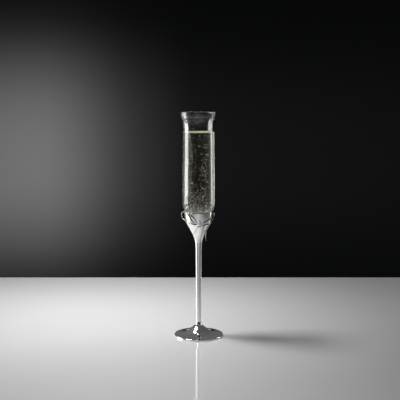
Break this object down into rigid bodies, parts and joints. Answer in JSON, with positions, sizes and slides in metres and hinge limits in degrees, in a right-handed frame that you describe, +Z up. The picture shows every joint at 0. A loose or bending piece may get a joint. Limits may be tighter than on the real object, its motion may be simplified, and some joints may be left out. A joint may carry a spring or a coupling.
{
  "type": "champagne flute",
  "caption": "Slim cylindrical crystal flute with a flared rim, seated in a polished metal cup with a wire bow, on a slender stem and a thin disc foot.",
  "frame": {"origin": "centre of the foot's resting plane", "axes": "+Z up along the stem, -Y towards the front, where the wire bow is tied, +X to the right seen from the front"},
  "size_m": [0.0612, 0.0612, 0.28],
  "materials": {
    "crystal": "clear polished crystal",
    "cement": "clear cured cement",
    "polished_silver": "polished silver plate",
    "wire_silver": "silver plated round wire",
    "turned_brass": "as turned",
    "plated_steel": "zinc plated fastener"
  },
  "bodies": {
    "root": {"glass_bowl": "crystal", "cement_bed": "cement", "cup_collar": "polished_silver", "cup_cone": "polished_silver", "cup_boss": "turned_brass", "stem_tube": "polished_silver", "foot_disc": "polished_silver", "tie_rod": "plated_steel", "foot_washer": "plated_steel", "foot_nut": "plated_steel", "tie_wire": "wire_silver", "loop_left": "wire_silver", "loop_right": "wire_silver", "tendril": "wire_silver", "drop_wire": "wire_silver", "knot_wrap": "wire_silver"}
  },
  "joints": []
}
